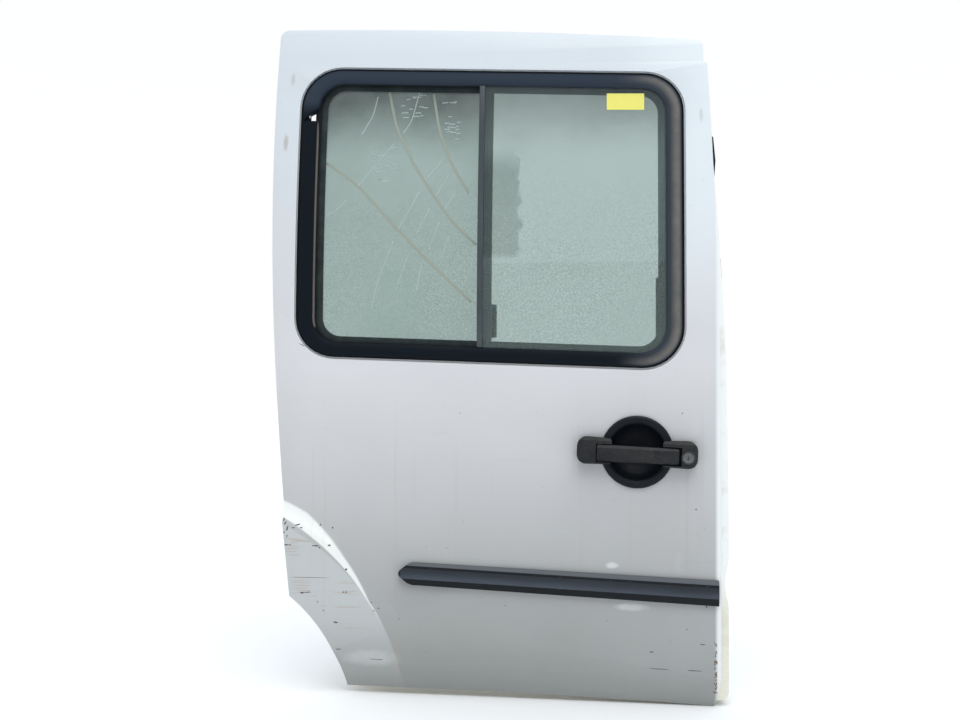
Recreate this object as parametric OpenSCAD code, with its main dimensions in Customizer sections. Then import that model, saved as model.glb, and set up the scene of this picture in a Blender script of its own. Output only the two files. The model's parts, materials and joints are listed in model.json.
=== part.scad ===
// Sliding side door of a van: outer skin, inner panel, sliding window, outside handle and fittings.
// In the door frame used below, X runs along the vehicle with the front at +X and 0 near the
// door's middle, Y runs inward from the skin's belt and Z up from the front lower corner.
// Each piece is moved once, by in_frame(), so that the origin is the centre of the lower arm
// pad's face.

/* [Door outline] */
// Rear edge of the skin at its widest, from the door's middle
rear_reach = 402; // [396:1:408]
// Front edge of the skin, from the door's middle
front_reach = 403; // [400:1:406]
// Height of the top edge at the door's middle
top_h = 1200; // [1190:1:1206]
// Fall of the top edge toward the front, for each unit of length
top_fall = 0.064; // [0.06:0.001:0.07]
// Extra drop of the top edge at its two ends
top_crown = 8; // [2:1:12]
// Rise of the bottom edge from the front corner to the wheel arch
sill_rise = 12; // [8:1:16]
// Radius of the wheel arch cut
arch_r = 298; // [292:1:304]

/* [Skin] */
// Thickness of the outer sheet
skin_t = 2; // [1.5:0.1:2.5]
// Depth of the folded edge round the skin
hem_d = 14; // [12:1:16]
// Height where the side starts to lean inward
belt_z = 588; // [580:1:596]
// Radius of the inward lean above the belt
tumble_r = 2900; // [2700:50:3200]
// Height of the lower crease at the door's middle
crease_z = 57; // [52:1:62]
// Angle of the panel below the crease
tuck_angle = 15; // [10:1:18]
// Fall of the moulding toward the front, for each unit of length
wedge = 0.04; // [0.034:0.002:0.046]

/* [Wheel arch flare] */
// Radius at the foot of the flare
flare_foot_r = 438; // [432:1:442]
// Radius at the crest of the flare
flare_crest_r = 403; // [398:1:406]
// Height of the flare at its upper end
flare_h = 18; // [14:1:20]

/* [Window] */
// Distance from the door's rear edge to the window frame
rear_rail = 51; // [49:1:60]
// Distance from the window frame to the door's front edge
front_rail = 64; // [60:1:74]
// Distance from the window frame up to the door's top edge
top_rail = 78; // [74:1:84]
// Height of the frame's lower edge above the belt
sill_gap = 9; // [7:1:16]
// Radius of the frame's outer corners
win_r = 70; // [60:1:78]
// Width of the frame's face
frame_w = 25; // [22:1:28]
// Thickness of each pane
glass_t = 4; // [3.5:0.5:5]

/* [Outside handle] */
// Diameter of the dish
dish_d = 126; // [120:1:130]
// Depth of the dish behind the skin
dish_depth = 30; // [26:1:34]
// Length of the handle over both lugs
handle_l = 207; // [204:1:210]
// Length of the pull grip
grip_l = 140; // [136:1:142]
// Height of the pull grip
grip_h = 29; // [26:1:31]
// How far the lugs stand out from the skin
lug_t = 20; // [18:0.5:22]
// Diameter of the lock cylinder
plug_d = 18.6; // [18:0.1:19.2]

/* [Side moulding] */
// Length of the side moulding
mould_l = 565; // [555:1:570]
// Height of the moulding
mould_h = 44; // [40:1:46]
// Thickness of the moulding
mould_t = 13; // [11:1:15]

/* [Inner panel] */
// Depth of the inner face behind the skin, below the belt
pan_d = 80; // [78:1:84]
// Depth of the inner face at the top edge, behind the belt plane
pan_top_d = 112; // [110:1:116]
// Sheet thickness of the inner panel
pan_t = 2; // [1.5:0.1:2.5]
// How far the front rim shows beyond the skin
rim_reach = 14; // [10:1:16]
// Diameter of the holes in the arm pads
pad_hole_d = 8.5; // [8:0.1:9]

/* [Hidden] */
$fn = 96;
eps = 0.01;

// Reach of the blocks that outlines are cut from
wide = 700;
deep = 200;
high = top_h + 60;

// Bends of the edges, in height
rear_bulge_z = top_h - 157;
rear_bend = 5.48e-5;
front_bend_z = top_h - 850;
front_bend = 3.4e-5;
rim_bend_z = top_h - 900;
rim_bend = 6e-5;
low_corner = 10;
low_corner_z = 50;
low_shares = [0.76, 0.52, 0.32];
// Step in the front edge just below the upper corner
corner_cut = 6;
corner_z = top_h - 72;
// Hollow in the front rim beside the moulding
mould_z = crease_z + 164;
rim_dip = 6;
rim_dip_z = mould_z - 9;
rim_dip_r = 36;
// Centre of the wheel arch
arch_c = [-rear_reach - 148, -55];
flare_end = arch_c + [373, 157];
flare_run = 279;

// Inward offset of the skin at height z
function lean(z) = z <= belt_z ? 0 : tumble_r - sqrt(tumble_r * tumble_r - pow(z - belt_z, 2));
// Depth of the inner panel's face at height z
function pan_y(z) = pan_d + (pan_top_d - pan_d) * max(z - belt_z, 0) / (top_h - belt_z);
// Edges of the door, each moved inward by m
function rear_x(z, m = 0) = -rear_reach + rear_bend * pow(z - rear_bulge_z, 2) + m;
function front_x(z, m = 0) = front_reach - front_bend * pow(max(z - front_bend_z, 0), 2)
    - low_corner * pow(max(low_corner_z - z, 0) / low_corner_z, 1.5) - m;
function rim_x(z, m = 0) = front_reach + rim_reach - rim_bend * pow(max(z - rim_bend_z, 0), 2)
    - rim_dip * max(1 - pow((z - rim_dip_z) / rim_dip_r, 2), 0) - m;
function top_z(x, m = 0) = top_h - top_fall * x - top_crown * pow(x / front_reach, 2) - m;
sill_turn = arch_c.x + arch_r;
function bottom_z(x, m = 0) =
    sill_rise * (1 - pow(max(x - sill_turn, 0) / (front_reach - sill_turn), 2)) + m;

function unit(v) = v / norm(v);
function turn(a) = a > 180 ? a - 360 : a < -180 ? a + 360 : a;
// Arc of radius r that rounds the corner b between a and c
function fillet(a, b, c, r, n) =
    let (u = unit(a - b), v = unit(c - b), half = acos(u * v) / 2, d = r / tan(half),
        m = b + unit(u + v) * r / sin(half), s = b + u * d - m, e = b + v * d - m,
        a0 = atan2(s.y, s.x), da = turn(atan2(e.y, e.x) - a0))
    [for (i = [0:n]) m + r * [cos(a0 + da * i / n), sin(a0 + da * i / n)]];
// Closed outline from [point, radius] pairs, where a radius of 0 keeps the point
function rounded(list, n = 8) =
    let (k = len(list))
    [for (i = [0:k - 1]) each list[i][1] <= 0 ? [list[i][0]] :
        fillet(list[(i + k - 1) % k][0], list[i][0], list[(i + 1) % k][0], list[i][1], n)];

// Angle at the wheel's centre where the arch meets the rear edge
arch_meet_z = 180;
function rear_arch_angle(m) = acos((rear_x(arch_meet_z, m) - arch_c.x) / (arch_r + m));
function arch_points(m) =
    let (r = arch_r + m, low = asin((bottom_z(sill_turn, m) - arch_c.y) / r),
        end = rear_arch_angle(m), n = 16)
    [for (i = [0:n]) let (a = low + (end - low) * i / n) [arch_c + r * [cos(a), sin(a)], 0]];
function top_points(left, right, m) =
    [for (i = [1:7]) let (x = left + (right - left) * i / 8) [[x, top_z(x, m)], 0]];
function bottom_points(m) =
    [for (i = [1:4]) let (x = front_reach * (1 - i / 4)) [[x, bottom_z(x, m)], 0]];
rear_low_z = 200;
rear_top_z = top_h - 10;
function rear_points(m, low) =
    [for (i = [1:9]) let (z = low + (rear_top_z - low) * i / 10) [[rear_x(z, m), z], 0]];
rear_corner_r = 16;
front_corner_r = 12;
front_top_z = top_h - 40;

// Outline of the skin, moved inward by m
function door_points(m) =
    let (left = rear_x(rear_top_z, m), right = front_x(front_top_z, m) - corner_cut)
    concat(
        [[[left, top_z(left, m)], rear_corner_r]],
        top_points(left, right, m),
        [[[right, top_z(right, m)], front_corner_r]],
        [[[front_x(corner_z, m) - corner_cut, corner_z - m], 1.5]],
        [[[front_x(corner_z, m), corner_z - m], 3.5]],
        [for (i = [1:9]) let (z = corner_z - (corner_z - low_corner_z) * i / 9)
            [[front_x(z, m), z], 0]],
        [for (share = low_shares) let (z = low_corner_z * share) [[front_x(z, m), z], 0]],
        [[[front_x(0, m), bottom_z(front_reach, m)], 5]],
        bottom_points(m),
        arch_points(m),
        rear_points(m, rear_low_z));

// Outline of the inner panel: inside the skin's edge, but past it at the front
panel_inset = 9;
rim_top_z = top_h - 50;
rim_low_z = [120, 70, 30];
function panel_points(m) =
    let (k = panel_inset + m, left = rear_x(rear_top_z, k), right = rim_x(rim_top_z, m),
        dip_top = rim_dip_z + rim_dip_r + 12)
    concat(
        [[[left, top_z(left, k)], rear_corner_r]],
        top_points(left, right, k),
        [[[right, top_z(right, k)], front_corner_r]],
        [for (i = [1:8]) let (z = rim_top_z - (rim_top_z - rim_bend_z) * i / 8)
            [[rim_x(z, m), z], 0]],
        [for (i = [1:10]) let (z = dip_top - 2 * (rim_dip_r + 12) * i / 10) [[rim_x(z, m), z], 0]],
        [for (z = rim_low_z) [[rim_x(z, m), z], 0]],
        [[[rim_x(0, m), bottom_z(front_reach, k)], 16]],
        bottom_points(k),
        arch_points(k),
        rear_points(k, rear_low_z + 20));

// Window frame: its lower edge sits just above the belt and both edges fall toward the front
win_z = belt_z + sill_gap;
win_h = top_h - top_rail - win_z;
win_top_fall = 0.049;
win_low_fall = 0.036;
win_left = -rear_reach + rear_rail;
win_right = front_reach - front_rail;
win_mid = (win_left + win_right) / 2;
function win_top(x, m) = win_z + win_h - win_top_fall * x - m;
function win_low(x, m) = win_z - win_low_fall * x + m;
// Outline of the window frame, moved inward by m
function win_points(m) =
    let (a = win_left + m, b = win_right - m, r = max(win_r - m, 4))
    rounded([[[a, win_top(a, m)], r], [[b, win_top(b, m)], r],
        [[b, win_low(b, m)], r], [[a, win_low(a, m)], r]], 10);

// Prism of an outline in the X-Z plane between two depths
module across(y0, y1) translate([0, y1, 0]) rotate([90, 0, 0]) linear_extrude(y1 - y0) children();
// Prism of a Y-Z section along the door
module along(x0, x1) translate([x0, 0, 0]) rotate([90, 0, 90]) linear_extrude(x1 - x0) children();
// Heights at which every curved surface is divided, so that pieces seat on each other
grid_n = 26;
grid_low = -30;
function skin_line(d) = [for (i = [0:grid_n]) let (z = grid_low + i * (high - grid_low) / grid_n)
    [lean(z) + d, z]];
function reverse(list) = [for (i = [len(list) - 1:-1:0]) list[i]];
// Everything between two depths behind the skin surface
module slab(d0, d1) along(-wide, wide) polygon(concat(skin_line(d0), reverse(skin_line(d1))));
// Everything between a depth behind the skin and the inner face moved outward by m
module core(d0, m) along(-wide, wide) polygon(concat(skin_line(d0),
    [[pan_y(high) - m, high], [pan_y(belt_z) - m, belt_z], [pan_y(0) - m, grid_low]]));
module door_shape(m) across(-60, deep) polygon(rounded(door_points(m)));
module panel_shape(m) across(-60, deep) polygon(rounded(panel_points(m)));
module window_shape(m) across(-60, deep) polygon(win_points(m));
// Half-space inward of the plane below the crease, which falls slightly toward the front
crease_fall = 0.023;
module tuck_side(t) translate([0, t, crease_z]) rotate([0, atan(crease_fall), 0])
    rotate([tuck_angle, 0, 0]) translate([-wide, 0, -400]) cube([2 * wide, wide, top_h + 800]);
// Swelling round the wheel arch, moved inward by t
flare_step = (flare_foot_r - flare_crest_r) / flare_h;
module flare_body(t) intersection() {
    translate([arch_c.x, t + 1, arch_c.y]) rotate([90, 0, 0])
        cylinder(h = 31, r1 = flare_foot_r + flare_step, r2 = flare_foot_r - 30 * flare_step);
    translate([flare_end.x, t, flare_end.y]) rotate([0, 225, 0])
        rotate([0, 0, -atan(flare_h / flare_run)])
            translate([-wide, 0, -wide]) cube([2 * wide, 100, 2 * wide]);
}

// Frame of the outside handle: X along the grip, Y inward, Z up
handle_c = [front_reach - 144, belt_z - 148];
handle_tilt = 2.4;
module at_handle() translate([handle_c.x, 0, handle_c.y]) rotate([0, handle_tilt, 0]) children();
// Frame of the lock, with Z pointing out of the door
lock_u = handle_l / 2 - 16;
lock_w = -4;
module at_lock() at_handle() translate([lock_u, 0, lock_w]) rotate([90, 0, 0]) children();

// Arm pads on the inner side
pad_w = 90;
pad_h = 60;
upper_pad_h = 32;
pad_t = 3;
pad_pitch = 60;
lower_pad = [front_reach - 85, 92];
centre_pad = [-rear_reach + 77, belt_z - 38];
upper_pad = [front_reach - 113, top_h - 56];
// Whole door moved so that the origin is the centre of the lower arm pad's face
module in_frame() translate([-lower_pad.x, -pan_d - pad_t, -lower_pad.y]) children();

// Outer sheet with its folded edge, flare and the ledge that the window frame sits on
opening_gap = 5;
ledge_d = 4;
ledge_w = 14;
dish_seat = 6;
module skin_solid(d0, d1, m) intersection() {
    union() {
        slab(d0, d1);
        flare_body(d0);
    }
    door_shape(m);
    tuck_side(d0);
}
module window_ledge() difference() {
    intersection() {
        slab(0, ledge_d + skin_t);
        window_shape(-opening_gap - skin_t);
    }
    intersection() {
        slab(-1, ledge_d);
        window_shape(-opening_gap);
    }
    window_shape(ledge_w);
}
module outer_skin() color("gainsboro") in_frame() difference() {
    union() {
        difference() {
            skin_solid(0, hem_d, 0);
            skin_solid(skin_t, hem_d + 5, skin_t);
            window_shape(-opening_gap);
        }
        window_ledge();
    }
    at_handle() rotate([90, 0, 0]) cylinder(h = 60, d = dish_d - 2 * dish_seat, center = true);
    at_lock() cylinder(h = 60, d = bezel_d + 2.6, center = true);
}

// Deep pressed panel with the tunnel round the window and the flange under the folded edge
seat_w = 24;
flange_step = 0.6;
tunnel_gap = 14;
latch_z = belt_z - 88;
latch_y = 49;
latch_open = [40, 18];
hole_w = 200;
hole_low = 200;
hole_h = latch_z - hole_low;
module pan_solid() difference() {
    intersection() {
        core(hem_d + flange_step, 0);
        panel_shape(0);
    }
    intersection() {
        core(hem_d + flange_step + pan_t, pan_t);
        panel_shape(pan_t);
    }
    intersection() {
        slab(hem_d - 1, hem_d + 2 * pan_t);
        panel_shape(seat_w);
    }
}
module edge_flange() difference() {
    intersection() {
        slab(hem_d, hem_d + pan_t);
        door_shape(0.5);
    }
    panel_shape(seat_w - 2);
}
module inner_panel() color("lightgray") in_frame() difference() {
    union() {
        pan_solid();
        edge_flange();
        intersection() {
            core(ledge_d + skin_t, 1);
            window_shape(-tunnel_gap - pan_t);
        }
    }
    window_shape(-tunnel_gap);
    for (x = [rear_hole_x, front_hole_x])
        across(pan_d - 10, pan_d + 10) translate([x, hole_low]) square([hole_w, hole_h]);
    for (x = [front_x(latch_z), rear_x(latch_z)])
        translate([x - 20, latch_y - latch_open.y / 2, latch_z - latch_open.x / 2])
            cube([60, latch_open.y, latch_open.x]);
    for (place = [lower_pad, upper_pad, centre_pad])
        translate([place.x, pan_d - 20, place.y]) pad_holes();
    guide_bores();
}

// Window: frame, two panes, tracks and fittings
frame_d = 0.5;
frame_back = 34;
front_pane_d = 8;
rear_pane_d = 24;
glass_in = 6;
divider_x = win_mid - 17;
divider_w = 10;
module left_of(x) translate([x - wide, -60, 0]) cube([wide, 60 + deep, high]);
module right_of(x) translate([x, -60, 0]) cube([wide, 60 + deep, high]);
module pane(d) intersection() {
    slab(d, d + glass_t);
    window_shape(frame_w - glass_in);
    children();
}
module front_pane() pane(front_pane_d) right_of(divider_x + 4);
module rear_pane() pane(rear_pane_d) left_of(divider_x + divider_w);
module window_frame() color([0.2, 0.22, 0.26]) in_frame() difference() {
    intersection() {
        slab(frame_d, frame_back);
        window_shape(1);
    }
    window_shape(frame_w);
    difference() {
        slab(ledge_d, frame_back + 5);
        window_shape(ledge_w + 0.5);
    }
    front_pane();
    rear_pane();
    channel(true);
    channel(false);
}
module front_glass() color([0.45, 0.55, 0.5, 0.5]) in_frame() front_pane();
module rear_glass() color([0.45, 0.55, 0.5, 0.5]) in_frame() rear_pane();
module window_divider() color([0.15, 0.16, 0.18]) in_frame() difference() {
    intersection() {
        slab(3, rear_pane_d - 3);
        window_shape(frame_w + eps);
        left_of(divider_x + divider_w);
        right_of(divider_x);
    }
    front_pane();
}
// Channel that the sliding pane runs in, along the top or the bottom of the frame
channel_w = 9;
channel_d = 10;
channel_ends = [51, 39];
module channel(top) intersection() {
    slab(rear_pane_d - 3, rear_pane_d + channel_d - 3);
    across(-60, deep) polygon(top
        ? [[-wide, high + 100], [wide, high + 100],
            for (x = [wide, -wide]) [x, win_top(x, frame_w + channel_w)]]
        : [[-wide, -100], [wide, -100],
            for (x = [wide, -wide]) [x, win_low(x, frame_w + channel_w)]]);
    window_shape(frame_w - glass_in - 1);
    left_of(win_right - channel_ends.y);
    right_of(win_left + channel_ends.x);
}
module glass_track(top) difference() {
    channel(top);
    intersection() {
        slab(rear_pane_d, rear_pane_d + glass_t);
        window_shape(frame_w - glass_in);
    }
}
module upper_glass_track() color([0.1, 0.1, 0.11]) in_frame() glass_track(true);
module lower_glass_track() color([0.1, 0.1, 0.11]) in_frame() glass_track(false);
// Upright on the leading edge of the sliding pane
stile_w = 14;
module sliding_stile() color([0.35, 0.38, 0.42]) in_frame() intersection() {
    slab(rear_pane_d - 2, rear_pane_d + glass_t + 2);
    window_shape(frame_w + channel_w + 1);
    right_of(divider_x + divider_w);
    left_of(divider_x + divider_w + stile_w);
}
latch_low = win_z + 43;
latch_w = 22;
module window_latch() color([0.08, 0.08, 0.09]) in_frame() intersection() {
    slab(rear_pane_d + glass_t + 2, rear_pane_d + glass_t + 14);
    translate([divider_x + divider_w, 0, latch_low]) cube([latch_w, deep, 60]);
}
module window_catch() color([0.08, 0.08, 0.09]) in_frame() intersection() {
    slab(rear_pane_d - 2, rear_pane_d + 12);
    window_shape(frame_w);
    translate([win_right - frame_w - latch_w, 0, latch_low]) cube([2 * latch_w, deep, 105]);
}
clamp_t = 5;
module window_clamp_ring() color([0.12, 0.12, 0.13]) in_frame() difference() {
    intersection() {
        slab(ledge_d + skin_t, ledge_d + skin_t + clamp_t);
        window_shape(-opening_gap - 3);
    }
    window_shape(ledge_w + 0.5);
}

// Outside handle
lug_l = 33;
lug_h = 48;
lug_chamfer = 6;
finger_in = 44;
seam = 2;
side_gap = 1.5;
end_gap = 5;
pin_d = 5;
pin_low = -21;
pin_l = 38;
grip_y0 = -lug_t - 3;
grip_y1 = -lug_t + 8;
grip_w = -3.5;
grip_u = -handle_l / 2 + lug_l + seam;
pivot_u = grip_u + 5;
pivot_y = grip_y0 + 6.5;
slot_floor = -7.5;
bezel_d = plug_d + 4.8;
run = 0.05;
// One lug of the base with the fingers that hold the grip's end between them
module lug(side) intersection() {
    outer = side * handle_l / 2;
    inner = side * finger_in;
    across(-lug_t, 0) polygon(rounded([[[outer, lug_h / 2], 16], [[outer, -lug_h / 2], 16],
        [[inner, -lug_h / 2 + 2], 5], [[inner, lug_h / 2 - 2], 5]]));
    along(-wide, wide) polygon([[5, lug_h / 2], [-lug_t + lug_chamfer, lug_h / 2],
        [-lug_t, lug_h / 2 - lug_chamfer], [-lug_t, -lug_h / 2 + 3],
        [-lug_t + 3, -lug_h / 2], [5, -lug_h / 2]]);
}
// Space for the grip between the lugs, with its movement
module grip_space() {
    h = grip_h / 2 + side_gap;
    space_l = grip_l + seam + end_gap;
    translate([grip_u - seam, -60, grip_w - h]) cube([space_l, 60 + slot_floor, 2 * h]);
}
// Section of the dish with its raised rim, radius against depth
dish_section = [[dish_d / 2, 0], [dish_d / 2, -3], [dish_d / 2 - 3, -6], [dish_d / 2 - 9, -6.5],
    [dish_d / 2 - 13, -4], [dish_d / 2 - 16, 6], [dish_d / 2 - 22, dish_depth - 12],
    [dish_d / 2 - 33, dish_depth - 3], [dish_d / 2 - 40, dish_depth], [0, dish_depth],
    [0, dish_depth + 3], [dish_d / 2 - 38, dish_depth + 3], [dish_d / 2 - 30, dish_depth],
    [dish_d / 2 - 19, dish_depth - 10], [dish_d / 2 - 12, 6], [dish_d / 2 - 9, 0]];
module handle_base() color([0.1, 0.1, 0.11]) in_frame() difference() {
    at_handle() difference() {
        union() {
            rotate([-90, 0, 0]) rotate_extrude() polygon(dish_section);
            lug(1);
            lug(-1);
        }
        grip_space();
        translate([pivot_u, pivot_y, pin_low]) cylinder(h = pin_l, d = pin_d);
    }
    at_lock() cylinder(h = 60, d = bezel_d, center = true);
}
module handle_pin() color("silver") in_frame() at_handle()
    translate([pivot_u, pivot_y, pin_low]) cylinder(h = pin_l, d = pin_d);
module handle_grip() color([0.12, 0.12, 0.13]) in_frame() at_handle() difference() {
    end = grip_u + grip_l;
    translate([0, 0, grip_w]) intersection() {
        across(grip_y0, grip_y1) polygon(rounded([[[grip_u, grip_h / 2], 1.5],
            [[end, grip_h / 2 - 1], 4], [[end, -grip_h / 2 + 1], 4], [[grip_u, -grip_h / 2], 1.5]]));
        along(-wide, wide) polygon([[grip_y1 + 1, grip_h / 2], [grip_y0 + 4, grip_h / 2],
            [grip_y0, grip_h / 2 - 5], [grip_y0, -grip_h / 2 + 4],
            [grip_y0 + 4, -grip_h / 2], [grip_y1 + 1, -grip_h / 2]]);
    }
    translate([pivot_u, pivot_y, -30]) cylinder(h = 60, d = pin_d + 2 * run);
}
bezel_back = 10;
plug_back = 14;
module lock_bezel() color([0.1, 0.1, 0.11]) in_frame() at_lock() difference() {
    translate([0, 0, -bezel_back]) cylinder(h = bezel_back + lug_t + 2, d = bezel_d);
    translate([0, 0, -bezel_back - 1]) cylinder(h = 60, d = plug_d + 2 * run);
}
module lock_plug() color("silver") in_frame() at_lock() difference() {
    translate([0, 0, -plug_back]) cylinder(h = plug_back + lug_t + 1, d = plug_d);
    translate([-1, -4, lug_t - 4]) cube([2, 8, 10]);
}

// Side moulding with a rounded rear tip, ending in the notch at the front edge
mould_end = 4;
mould_bevel = [10, 14];
module side_moulding() color([0.17, 0.2, 0.27]) in_frame() intersection() {
    translate([front_reach - mould_end - mould_l, 0, mould_z]) rotate([0, atan(wedge), 0])
        intersection() {
            across(-mould_t, 0) polygon(rounded([[[0, 0], 8], [[24, mould_h / 2 - 2], 20],
                [[mould_l + 20, mould_h / 2], 0], [[mould_l + 20, -mould_h / 2], 0],
                [[24, -mould_h / 2 + 2], 20]]));
            along(-5, mould_l + 30) polygon([[0, mould_h / 2], [-mould_t + 5, mould_h / 2],
                [-mould_t, mould_h / 2 - mould_bevel.x], [-mould_t, -mould_h / 2 + mould_bevel.y],
                [-mould_t + 6, -mould_h / 2], [0, -mould_h / 2]]);
        }
    left_of(front_reach - mould_end);
}

// Latches in the front and rear walls
claw_w = 8;
module latch_case() difference() {
    translate([-44, latch_y - 15, -36]) cube([60, 30, 72]);
    translate([-30, latch_y - 7, -14]) cube([60, 14, 28]);
}
module latch_claw() translate([-14, latch_y, 0]) rotate([90, 0, 0]) difference() {
    cylinder(h = claw_w, r = 14, center = true);
    translate([0, -4, -10]) cube([30, 8, 20]);
}
module at_front_latch() translate([rim_x(latch_z) - pan_t, 0, latch_z]) children();
module at_rear_latch() translate([rear_x(latch_z) + panel_inset + pan_t, 0, latch_z])
    mirror([1, 0, 0]) children();
module front_latch() color("dimgray") in_frame() intersection() {
    at_front_latch() latch_case();
    panel_shape(pan_t);
}
module front_latch_claw() color("silver") in_frame() at_front_latch() latch_claw();
module rear_latch() color("dimgray") in_frame() intersection() {
    at_rear_latch() latch_case();
    panel_shape(pan_t);
}
module rear_latch_claw() color("silver") in_frame() at_rear_latch() latch_claw();

// Trim, inner handle and grab handle on the inner side
trim_t = 3;
trim_low = hole_low - 50;
trim_left = -rear_reach + 140;
trim_right = front_reach - 31;
lever_x = front_reach - 148;
lever_z = belt_z - 168;
rear_hole_x = -rear_reach + 202;
front_hole_x = lever_x - 105;
cup = [90, 50];
cup_d = 22;
cup_t = 2;
module trim_panel() color([0.45, 0.46, 0.48]) in_frame() difference() {
    across(pan_d, pan_d + trim_t) polygon(rounded([[[trim_left, belt_z - 40], 25],
        [[trim_right, belt_z - 68], 25], [[trim_right, trim_low], 25],
        [[trim_left + 92, trim_low], 60], [[trim_left, trim_low + 140], 60]]));
    across(pan_d - 5, pan_d + 20) translate([lever_x, lever_z]) square(cup);
}
module inner_handle_bezel() color([0.15, 0.15, 0.16]) in_frame() difference() {
    union() {
        across(pan_d + trim_t, pan_d + trim_t + 4) translate([lever_x - 10, lever_z - 10])
            square([cup.x + 20, cup.y + 20]);
        across(pan_d - cup_d, pan_d + trim_t + 1) translate([lever_x, lever_z]) square(cup);
    }
    across(pan_d - cup_d + cup_t, pan_d + 20) translate([lever_x + cup_t, lever_z + cup_t])
        square([cup.x - 2 * cup_t, cup.y - 2 * cup_t]);
}
lever_h = 30;
module inner_handle_lever() color([0.1, 0.1, 0.1]) in_frame() {
    z = lever_z + (cup.y - lever_h) / 2;
    floor_y = pan_d - cup_d + cup_t;
    translate([lever_x + 7, floor_y, z]) cube([12, cup_d - 1, lever_h]);
    translate([lever_x + 7, pan_d - 7, z]) cube([cup.x - 16, 8, lever_h]);
}
grab_x = trim_left + 32;
grab_low = trim_low + 160;
grab_l = 202;
grab_post = 22;
grab_out = 30;
grab_bar = [26, 14];
module grab_handle() color([0.12, 0.12, 0.13]) in_frame() translate([grab_x, pan_d + trim_t, grab_low]) {
    for (z = [0, grab_l - grab_post])
        translate([0, 0, z]) cube([grab_bar.x, grab_out + 4, grab_post]);
    translate([0, grab_out, 0]) cube([grab_bar.x, grab_bar.y, grab_l]);
}

// Pads that the roller arms bolt to
module pad_holes() for (x = [-pad_pitch / 2, pad_pitch / 2])
    translate([x, -1, 0]) rotate([-90, 0, 0]) cylinder(h = deep, d = pad_hole_d);
module flat_pad(place) translate([place.x, pan_d, place.y]) difference() {
    translate([-pad_w / 2, 0, -pad_h / 2]) cube([pad_w, pad_t, pad_h]);
    pad_holes();
}
module lower_arm_pad() color("gray") in_frame() flat_pad(lower_pad);
module centre_hinge_pad() color("gray") in_frame() flat_pad(centre_pad);
// Wedge whose face stands upright on the leaning panel
module upper_arm_pad() color("gray") in_frame() {
    z0 = upper_pad.y - upper_pad_h / 2;
    z1 = upper_pad.y + upper_pad_h / 2;
    face = pan_y(z1) + pad_t;
    difference() {
        along(upper_pad.x - pad_w / 2, upper_pad.x + pad_w / 2)
            polygon([[pan_y(z0), z0], [pan_y(z1), z1], [face, z1], [face, z0]]);
        translate([upper_pad.x, 0, upper_pad.y]) pad_holes();
    }
}

// Plates round the bores that take the body's guide pins
guide_t = 1.5;
guide_hole_d = 13;
guide_size = [30, 34];
guide_z = [belt_z - 288, belt_z + 172];
module guide_bores() for (z = guide_z)
    translate([rim_x(z) - 20, latch_y, z]) rotate([0, 90, 0]) cylinder(h = 60, d = guide_hole_d);
module front_guide_sockets() color("silver") in_frame() difference() {
    for (z = guide_z) intersection() {
        translate([rim_x(z) - 6, latch_y - guide_size.x / 2, z - guide_size.y / 2])
            cube([20, guide_size.x, guide_size.y]);
        panel_shape(-guide_t);
    }
    panel_shape(0);
    guide_bores();
}
wedge_size = [12, 26, 40];
wedge_z = [belt_z - 168, belt_z + 242];
module rear_guide_wedges() color([0.15, 0.15, 0.16]) in_frame() difference() {
    for (z = wedge_z)
        translate([rear_x(z) + panel_inset - 8, latch_y - 4, z - wedge_size.z / 2]) cube(wedge_size);
    panel_shape(0);
}
stop_d = 20;
stop_z = [belt_z - 258, top_h - 190];
module bump_stops() color([0.1, 0.1, 0.1]) in_frame() difference() {
    for (z = stop_z)
        translate([rear_x(z) + panel_inset + 8, pan_y(z) - 24, z]) rotate([0, -90, 0])
            cylinder(h = 17, d = stop_d);
    panel_shape(0);
}
// Rubber on the front wall, showing as a dark sliver past the skin
buffer_z = corner_z - 175;
buffer_out = 8.36;
buffer_d = [30, 46];
module front_edge_buffer() color([0.1, 0.1, 0.1]) in_frame() difference() {
    x = front_x(buffer_z) + buffer_out;
    across(lean(buffer_z) + buffer_d.x, lean(buffer_z) + buffer_d.y)
        polygon([[x - 20, buffer_z - 52], [x - 3, buffer_z - 45], [x, buffer_z],
            [x - 4, buffer_z + 42], [x - 20, buffer_z + 50]]);
    panel_shape(0);
}
plug_pitch = 150;
plug_z = 95;
module hole_plugs() color([0.1, 0.1, 0.1]) in_frame() for (i = [-1:1])
    translate([i * plug_pitch, pan_d, plug_z]) rotate([-90, 0, 0]) cylinder(h = 2.5, d = 26);

outer_skin();
inner_panel();
window_frame();
front_glass();
rear_glass();
window_divider();
upper_glass_track();
lower_glass_track();
sliding_stile();
window_latch();
window_catch();
window_clamp_ring();
handle_base();
handle_pin();
handle_grip();
lock_bezel();
lock_plug();
side_moulding();
front_latch();
front_latch_claw();
rear_latch();
rear_latch_claw();
trim_panel();
inner_handle_bezel();
inner_handle_lever();
grab_handle();
upper_arm_pad();
centre_hinge_pad();
lower_arm_pad();
front_guide_sockets();
rear_guide_wedges();
bump_stops();
front_edge_buffer();
hole_plugs();
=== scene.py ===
import json
import math
import random

import bmesh
import bpy
from bpy.props import FloatProperty, FloatVectorProperty, IntProperty, PointerProperty
from mathutils import Matrix, Vector
from mathutils.bvhtree import BVHTree


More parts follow.
